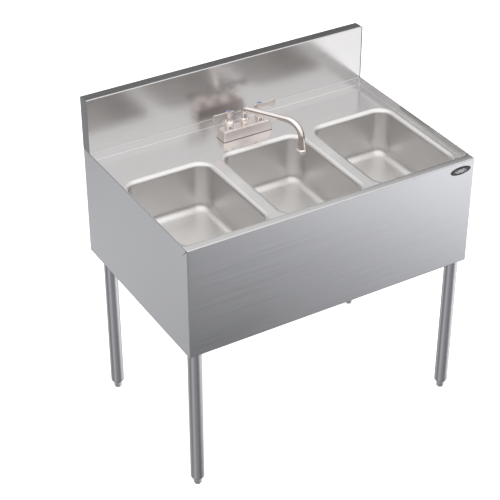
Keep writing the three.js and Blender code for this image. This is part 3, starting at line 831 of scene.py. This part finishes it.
def faucet_casting():
    """The hollow base: tapered sides with round corners and a softened top edge."""
    slope = BASE_TAPER / (base_high.z - base_low.z)
    crown = 0.0022
    wall = 0.003
    foot = 0.0006

    def ring(z, extra=0.0, shrink=0.0):
        inset = slope * (z - base_low.z) + extra + shrink
        corner = max(0.0055 - extra * 0.6 - shrink * 0.5, 0.001)
        return rounded_outline(base_low, base_high, inset, corner, z, 7)

    rows = [ring(base_low.z, foot), ring(base_low.z + foot), ring(base_high.z - crown)]
    for angle in arc(0, 90, 5)[1:]:
        rows.append(ring(base_high.z - crown + crown * math.sin(angle), crown * (1 - math.cos(angle))))
    count = len(rows[0])
    inner = [ring(base_high.z - wall, 0.0, wall), ring(base_low.z, 0.0, wall)]
    points, faces = loft(rows)
    faces.append(tuple(range(len(points) - count, len(points))))
    first = len(points)
    points += [p for row in inner for p in row]
    faces += grid_faces(2, count, closed=True, first=first)
    faces.append(tuple(range(first, first + count)))
    for i in range(count):
        j = (i + 1) % count
        faces.append((i, j, first + count + j, first + count + i))
    piece = solid_piece("faucet_casting", points, faces, 0.0)
    return hand_over(piece, SINK, "chrome", BASE_CHROME, "faucet_base")


def bonnet(side):
    """A faucet valve's bonnet: a collar that flares to a rim, and a dome over the packing."""
    low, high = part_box(side + "_bonnet")
    centre = (low + high) / 2
    bore = STEM + 0.00025
    top = high.z
    rim = 0.0013
    profile = [(bore, low.z), (0.0136, low.z), (0.0138, low.z + 0.0010), (0.0130, low.z + 0.0024),
               (0.0128, low.z + 0.011), (0.0132, low.z + 0.0145), (0.0146, low.z + 0.0175)]
    profile += arc_points(0.0158 - rim, low.z + 0.0198, rim, -60, 75, 6)
    profile += arc_points(0.0074, low.z + 0.0212, 0.0070, 0, 90, 6, 0.0042)
    profile += [(0.0070, top - 0.0022), (0.0068, top - 0.0006), (0.0062, top), (bore, top), (bore, low.z)]
    piece = lathe(side + "_bonnet_cap", profile, centre.x, centre.y, 64)
    return hand_over(piece, SINK, "chrome", CHROME, side + "_bonnet")


# Half of a wing handle's blade and its stub, as (outward from the axis, above the deck), in mm.
BLADE = [(3, 82.4), (26, 82.8), (45, 83.8), (50, 82.6), (52.2, 78), (52.6, 71.5), (50.5, 64), (46, 59.4),
         (40, 58.6), (34, 61), (27, 65.4), (20, 69), (12, 70), (3, 70)]
STUB = [(-3, 70), (-8, 69), (-13, 68.8), (-16.4, 71), (-18.3, 76), (-17, 81), (-13, 83), (-3, 82.4)]


def wing(name, outline, centre, outward):
    """One flat wing of the handle, its faces slightly crowned towards its middle."""
    edge = [Vector((x, z)) * 0.001 for x, z in smooth_outline(outline, 3)]
    heart = sum(edge, Vector((0, 0))) / len(edge)
    half_thickness = 0.0020
    front = []
    for inset, lift in ((0.0, 0.62), (0.0007, 0.9), (0.0018, 1.0)):
        front.append([(p + (heart - p).normalized() * inset, -half_thickness * lift) for p in edge])
    back = [[(p, -y) for p, y in row] for row in front]
    rows = [[Vector((centre.x + outward * p.x, centre.y + y, DECK_Z + p.y)) for p, y in row]
            for row in front[::-1] + back]
    points, faces = loft(rows, capped=True)
    return solid_piece(name, points, faces, 0.0)


def wing_handle(side):
    """A handle: its waisted hub on the stem, the long wing and the short stub."""
    centre = middle(side + "_stem")
    outward = -1 if side == "left" else 1
    bore = STEM + 0.00005
    outer = [(bore, 0.061), (0.0054, 0.061), (0.0056, 0.0614), (0.0053, 0.0635), (0.0056, 0.066),
             (0.0064, 0.070), (0.0074, 0.075), (0.0082, 0.0795), (0.0084, 0.0815)]
    cup = [(0.0071, 0.0842), (0.0070, 0.082), (0.0020, 0.082), (0.0020, 0.0731), (bore, 0.0731), outer[0]]
    section = outer + arc_points(0.0077, 0.0835, 0.0007, 0, 90, 3) + cup
    hub_profile = [(radius, DECK_Z + height) for radius, height in section]
    hub = lathe(side + "_wing_handle", hub_profile, centre.x, centre.y, 48)
    blade = wing("blade", BLADE, centre, outward)
    stub = wing("stub", STUB, centre, outward)
    join(hub, blade, stub)
    return hand_over(hub, side + "_valve_handle", "chrome", SATIN_CHROME, side + "_handle")


def index_button(side):
    """The coloured ring round the handle's screw, domed a little."""
    low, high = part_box(side + "_index_cap")
    centre = (low + high) / 2
    outer = (high.x - low.x) / 2
    bore = 0.003
    dome = 0.0012
    profile = [(bore, low.z), (outer, low.z), (outer, high.z - dome)]
    profile += arc_points(outer - dome, high.z - dome, dome, 0, 90, 4, 0.0010)
    profile += [(0.0042, high.z), (0.0034, high.z - 0.0002), (bore, high.z - 0.0008), (bore, low.z)]
    piece = lathe(side + "_index_button", profile, centre.x, centre.y, 40)
    return hand_over(piece, side + "_valve_handle", "index_blue", INDEX_BLUE, side + "_index_cap")


def cap_screw(side):
    """The round-headed screw that holds the handle."""
    low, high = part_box(side + "_handle_screw")
    centre = (low + high) / 2
    head = high.z - 0.0022
    shank = 0.0017
    cap = 0.0027
    profile = [(0.0, low.z), (shank, low.z), (shank, head), (cap, head)]
    profile += arc_points(0.00001, head + 0.0012, cap, 0, 88, 5, 0.0010)
    piece = lathe(side + "_cap_screw", profile, centre.x, centre.y, 24)
    return hand_over(piece, side + "_valve_handle", "chrome", CHROME, side + "_handle_screw")


def spout_collar():
    """The turned nut that the spout swings in, with a round bead near its top."""
    low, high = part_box("spout_nut")
    centre = (low + high) / 2
    bore = SPOUT_RADIUS + 0.00015
    profile = [(bore, low.z), (0.0118, low.z), (0.0119, low.z + 0.0008), (0.0113, low.z + 0.002),
               (0.0114, low.z + 0.0075), (0.0120, low.z + 0.0105), (0.0126, low.z + 0.0125),
               (0.0127, low.z + 0.0165)]
    profile += arc_points(0.0124, low.z + 0.0190, 0.0011, -70, 80, 6)
    profile += [(0.0113, high.z - 0.0009), (0.0104, high.z), (bore, high.z), (bore, low.z)]
    piece = lathe("spout_collar", profile, centre.x, centre.y, 64)
    return hand_over(piece, SINK, "chrome", CHROME, "spout_nut")


SPOUT_RADIUS = 0.0093
SPOUT_BORE = 0.0081
SPOUT_RISE = math.radians(6)
ELBOW_HEIGHT = 0.0785
ELBOW_RADIUS = 0.014
DROP_RADIUS = 0.047
OUTLET_END = 0.009
OUTLET_FLARE = 0.0009


def spout_line(reach, start):
    """Centre line of the spout as (reach, height above the deck, heading in radians)."""
    elbow = ELBOW_RADIUS * math.tan((math.pi / 2 - SPOUT_RISE) / 2)
    drop = DROP_RADIUS * math.tan((math.pi / 2 + SPOUT_RISE) / 2)
    corner = ELBOW_HEIGHT + reach * math.tan(SPOUT_RISE)
    line = [(0.0, start, math.pi / 2)]

    def bend(radius, out, up, angles):
        centre = (out + radius * math.sin(angles[0]), up - radius * math.cos(angles[0]))
        for angle in angles:
            line.append((centre[0] - radius * math.sin(angle), centre[1] + radius * math.cos(angle), angle))

    rise = math.degrees(SPOUT_RISE)
    bend(ELBOW_RADIUS, 0.0, ELBOW_HEIGHT - elbow, arc(90, rise, 12))
    drop_start = (reach - drop * math.cos(SPOUT_RISE), corner - drop * math.sin(SPOUT_RISE))
    bend(DROP_RADIUS, *drop_start, arc(rise, -90, 24))
    line.append((reach, OUTLET_END, -math.pi / 2))
    return line


def spout_pipe():
    """The bent spout tube, open through to its outlet."""
    outlet = middle("aerator_housing")
    offset = Vector((outlet.x - FAUCET.x, outlet.y - FAUCET.y))
    out = offset.normalized()
    line = spout_line(offset.length, base_high.z + 0.001 - DECK_Z)
    count = 40

    def section(place, radius):
        reach, height, heading = place
        points = []
        for k in range(count):
            angle = 2 * math.pi * k / count
            across = radius * math.cos(angle)
            up = radius * math.sin(angle)
            along = reach - up * math.sin(heading)
            points.append(Vector((
                FAUCET.x + along * out.x - across * out.y,
                FAUCET.y + along * out.y + across * out.x,
                DECK_Z + height + up * math.cos(heading))))
        return points

    def outside(place):
        """The outside radius: the pipe widens a little over its last straight length."""
        return SPOUT_RADIUS + (OUTLET_FLARE if place == line[-1] else 0.0)

    rows = [section(place, outside(place)) for place in line]
    rows += [section(place, SPOUT_BORE) for place in reversed(line)]
    points = [p for row in rows for p in row]
    faces = grid_faces(len(rows) + 1, count, closed=True)
    faces = [tuple(i % len(points) for i in face) for face in faces]
    piece = solid_piece("spout_pipe", points, faces, 0.0)
    return hand_over(piece, "spout", "chrome", CHROME, "spout_tube")


def aerator():
    """The aerator's housing: a plain band with a bright chamfer above it."""
    low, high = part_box("aerator_housing")
    centre = (low + high) / 2
    outer = (high.x - low.x) / 2
    bore = 0.0106
    seat = low.z + 0.0039
    tube = SPOUT_RADIUS + OUTLET_FLARE + TOUCH
    ease = 0.0010
    profile = [(bore, low.z), (outer - 0.0012, low.z)]
    profile += arc_points(outer - ease, low.z + ease, ease, -90, 0, 3)
    profile += [(outer, low.z + 0.0095), (outer - 0.0003, low.z + 0.0103), (outer - 0.0018, high.z - 0.0008),
                (outer - 0.0024, high.z), (tube, high.z), (tube, seat), (bore, seat), (bore, low.z)]
    piece = lathe("aerator_shell", profile, centre.x, centre.y, 56)
    # The housing takes the lightened outlet chrome, which is painted light.
    return hand_over(piece, "spout", "chrome", OUTLET_CHROME_PAINTED_LIGHT, "aerator_housing")


def inlet_shank(side):
    """The threaded brass shank under the deck."""
    low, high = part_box(side + "_inlet_shank")
    centre = (low + high) / 2
    outer = (high.x - low.x) / 2
    bore = 0.0065
    pitch = 0.0018
    profile = [(bore, low.z), (outer - 0.0012, low.z)]
    z = low.z + 0.0008
    while z + pitch < DECK_Z - SHEET - 0.001:
        profile += [(outer - 0.0008, z), (outer, z + 0.5 * pitch)]
        z += pitch
    profile += [(outer - 0.0008, z), (outer - 0.0001, z + 0.0006), (outer - 0.0001, high.z), (bore, high.z),
                (bore, low.z)]
    piece = lathe(side + "_threaded_shank", profile, centre.x, centre.y, 32)
    return hand_over(piece, SINK, "brass", BRASS, side + "_inlet_shank")


# ---- badge ----
def badge():
    """An oval plate with a bevelled edge and a raised pattern of plain waves."""
    low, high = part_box("name_badge")
    centre = (low + high) / 2
    half = (high - low) / 2
    count = 72

    def oval(inset, depth):
        angles = [2 * math.pi * k / count for k in range(count)]
        return [Vector((centre.x + (half.x - inset) * math.cos(a), high.y - depth,
                        centre.z + (half.z - inset) * math.sin(a))) for a in angles]

    full = high.y - low.y
    rows = [oval(0.0003, 0.0), oval(0.0, 0.0002), oval(0.0, 0.35 * full), oval(0.0007, 0.62 * full),
            oval(0.0016, 0.80 * full), oval(0.0019, 0.78 * full), oval(0.0030, 0.78 * full)]
    points, faces = loft(rows, capped=True)
    piece = solid_piece("badge_plate", points, faces, 0.0)
    hand_over(piece, SINK, "badge_black", BADGE_BLACK, "name_badge")
    face = high.y - 0.78 * full
    for index, (level, span) in enumerate(((0.0032, 0.0180), (-0.0006, 0.0225), (-0.0044, 0.0170))):
        ribbon = wave("badge_wave_" + str(index + 1), centre, level, span, face)
        hand_over(ribbon, SINK, "badge_black", SILVER)


def wave(name, centre, level, span, face):
    """One raised ribbon of a sine wave that thins to its ends."""
    steps = 48
    lift = 0.0003
    upper, lower = [], []
    for k in range(steps + 1):
        share = k / steps
        x = centre.x + span * (2 * share - 1)
        z = centre.z + level + 0.0011 * math.sin(share * 6 * math.pi)
        half = 0.0009 * math.sin(math.pi * share) ** 0.5 + 0.00005
        upper.append(Vector((x, face, z + half)))
        lower.append(Vector((x, face, z - half)))
    rows = [upper, [p + Vector((0, -lift, -0.0002)) for p in upper],
            [p + Vector((0, -lift, 0.0002)) for p in lower], lower]
    points, faces = loft(rows, closed=False)
    columns = steps + 1
    for i in range(steps):
        faces.append((i, i + 1, 3 * columns + i + 1, 3 * columns + i))
    faces.append((0, columns, 2 * columns, 3 * columns))
    faces.append(tuple(k * columns + steps for k in (3, 2, 1, 0)))
    return solid_piece(name, points, faces, 0.0)


# ---- CAD nodes that keep their shape ----
def refinish(node, material):
    """Gives a CAD node a better material."""
    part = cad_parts[node]
    part.data.materials.clear()
    part.data.materials.append(material)


def refinish_small_parts():
    for place in BASINS:
        refinish(place + "_drain_gasket", RUBBER)
        refinish(place + "_drain_locknut", BRASS)
    for side in SIDES:
        refinish(side + "_shank_washer", WHITE_PLASTIC)
        refinish(side + "_shank_locknut", BRASS)
        refinish(side + "_stem", BRASS)
    refinish("faucet_gasket", RUBBER)
    refinish("aerator_insert", WHITE_PLASTIC)


# ---- stage ----
def floor():
    """A plain pale floor that takes soft contact shadows."""
    size = 30.0
    points = [(-size, -size, 0), (size, -size, 0), (size, size, 0), (-size, size, 0)]
    ground = new_object("floor", [Vector(p) + Vector((0, 0, -0.0002)) for p in points], [(0, 1, 2, 3)])
    material = bpy.data.materials.new("pale_floor")
    material.use_nodes = True
    nodes = Nodes(material.node_tree)
    diffuse = nodes.add("ShaderNodeBsdfDiffuse")
    diffuse.inputs["Color"].default_value = (0.9, 0.9, 0.9, 1)
    glow = nodes.add("ShaderNodeEmission")
    glow.inputs["Strength"].default_value = 0.55
    both = nodes.add("ShaderNodeAddShader")
    output = nodes.add("ShaderNodeOutputMaterial")
    nodes.link(diffuse.outputs[0], both.inputs[0])
    nodes.link(glow.outputs[0], both.inputs[1])
    nodes.link(both.outputs[0], output.inputs[0])
    ground.data.materials.append(material)
    ground.visible_glossy = False


def sky(nodes, x, y, z):
    """Light from above: a ceiling panel with an edge above the horizon, and a weak glow at the left."""
    tilt = nodes.plus(nodes.times(y, -0.301), nodes.times(nodes.math("ABSOLUTE", x), -0.12))
    height = nodes.plus(nodes.times(z, 0.953), tilt)
    panel = nodes.step(height, 0.130, 0.180)
    ceiling = nodes.times(nodes.ramp(height, 0.25, 0.9, 1.10, 1.72), nodes.step(x, -0.97, -0.68, 0.40, 1.0))
    return nodes.plus(nodes.times(panel, ceiling), nodes.step(x, -0.72, -0.44, 0.40, 0.06))


def front_floor(nodes, x, z):
    """Light from low in front: fading from the far left, growing towards the horizon at the right."""
    slant = nodes.plus(z, nodes.times(x, 0.35))
    glow = nodes.math("EXPONENT", nodes.times(nodes.plus(slant, 0.363), 13.0))
    limited = nodes.math("MINIMUM", nodes.math("MAXIMUM", glow, 0.20), 3.4)
    right = nodes.times(limited, nodes.step(slant, -0.30, -0.24, 1.0, 0.42))
    left = nodes.step(x, -0.75, -0.35, 0.75, 0.42)
    return nodes.between(nodes.step(x, -0.10, 0.25), left, right)


def back_floor(nodes, x, z):
    """Light from low behind: a patch at the left with a brighter band in it, and more at the right."""
    band = nodes.times(nodes.step(z, -0.66, -0.56), nodes.step(z, -0.54, -0.44, 1.0, 0.0))
    patch = nodes.times(nodes.step(x, -0.75, -0.5), nodes.step(x, -0.22, 0.0, 1.0, 0.0))
    lit = nodes.plus(nodes.times(band, 0.30), 0.32)
    return nodes.plus(nodes.times(patch, lit), nodes.step(x, 0.15, 0.55, 0.30, 0.85))


def studio():
    """Soft surroundings that only light and reflections see; the camera sees plain white."""
    world = bpy.data.worlds.new("studio")
    bpy.context.scene.world = world
    world.use_nodes = True
    nodes = Nodes(world.node_tree)
    direction = nodes.add("ShaderNodeTexCoord")
    split = nodes.add("ShaderNodeSeparateXYZ")
    nodes.link(direction.outputs["Generated"], split.inputs[0])
    x, y, z = split.outputs
    behind = nodes.step(y, -0.25, 0.25)
    lower = nodes.between(behind, front_floor(nodes, x, z), back_floor(nodes, x, z))
    level = nodes.between(nodes.step(z, -0.36, -0.14), lower, sky(nodes, x, y, z))
    rays = nodes.add("ShaderNodeLightPath")
    surroundings = nodes.add("ShaderNodeBackground")
    nodes.link(level, surroundings.inputs["Strength"])
    backdrop = nodes.add("ShaderNodeBackground")
    backdrop.inputs["Strength"].default_value = 1.0
    backdrop.inputs["Color"].default_value = (1, 1, 1, 1)
    pick = nodes.add("ShaderNodeMixShader")
    nodes.link(rays.outputs["Is Camera Ray"], pick.inputs[0])
    nodes.link(surroundings.outputs[0], pick.inputs[1])
    nodes.link(backdrop.outputs[0], pick.inputs[2])
    output = nodes.add("ShaderNodeOutputWorld")
    nodes.link(pick.outputs[0], output.inputs[0])


def camera():
    """The camera, at the photographed view."""
    data = bpy.data.cameras.new("camera")
    data.lens = 109.04
    data.sensor_width = 36.0
    data.clip_start = 0.1
    data.clip_end = 100.0
    azimuth = math.radians(-30.72)
    elevation = math.radians(34.01)
    back = Vector((math.sin(azimuth) * math.cos(elevation), -math.cos(azimuth) * math.cos(elevation),
                   math.sin(elevation)))
    viewer = bpy.data.objects.new("camera", data)
    viewer.location = (-1.9414, -3.1119, 2.9661)
    viewer.rotation_mode = "QUATERNION"
    viewer.rotation_quaternion = (-back).to_track_quat("-Z", "Y")
    bpy.context.scene.collection.objects.link(viewer)
    bpy.context.scene.camera = viewer
    bpy.context.scene.view_settings.view_transform = "Standard"


# ---- everything ----
camera()
studio()
floor()
tray()
rim_cap()
apron()
splash()
rear_channel()
for side in (-1, 1):
    side_sheet(side)
    splash_plate(side)
for place in BASINS:
    basin(place)
    drain(place)
for corner in ("front_left", "front_right", "back_left", "back_right"):
    leg_tube(corner)
    leg_insert(corner)
    leg_socket(corner)
    screw_foot(corner)
faucet_casting()
for side in SIDES:
    inlet_shank(side)
    bonnet(side)
    wing_handle(side)
    index_button(side)
    cap_screw(side)
spout_collar()
spout_pipe()
aerator()
badge()
refinish_small_parts()
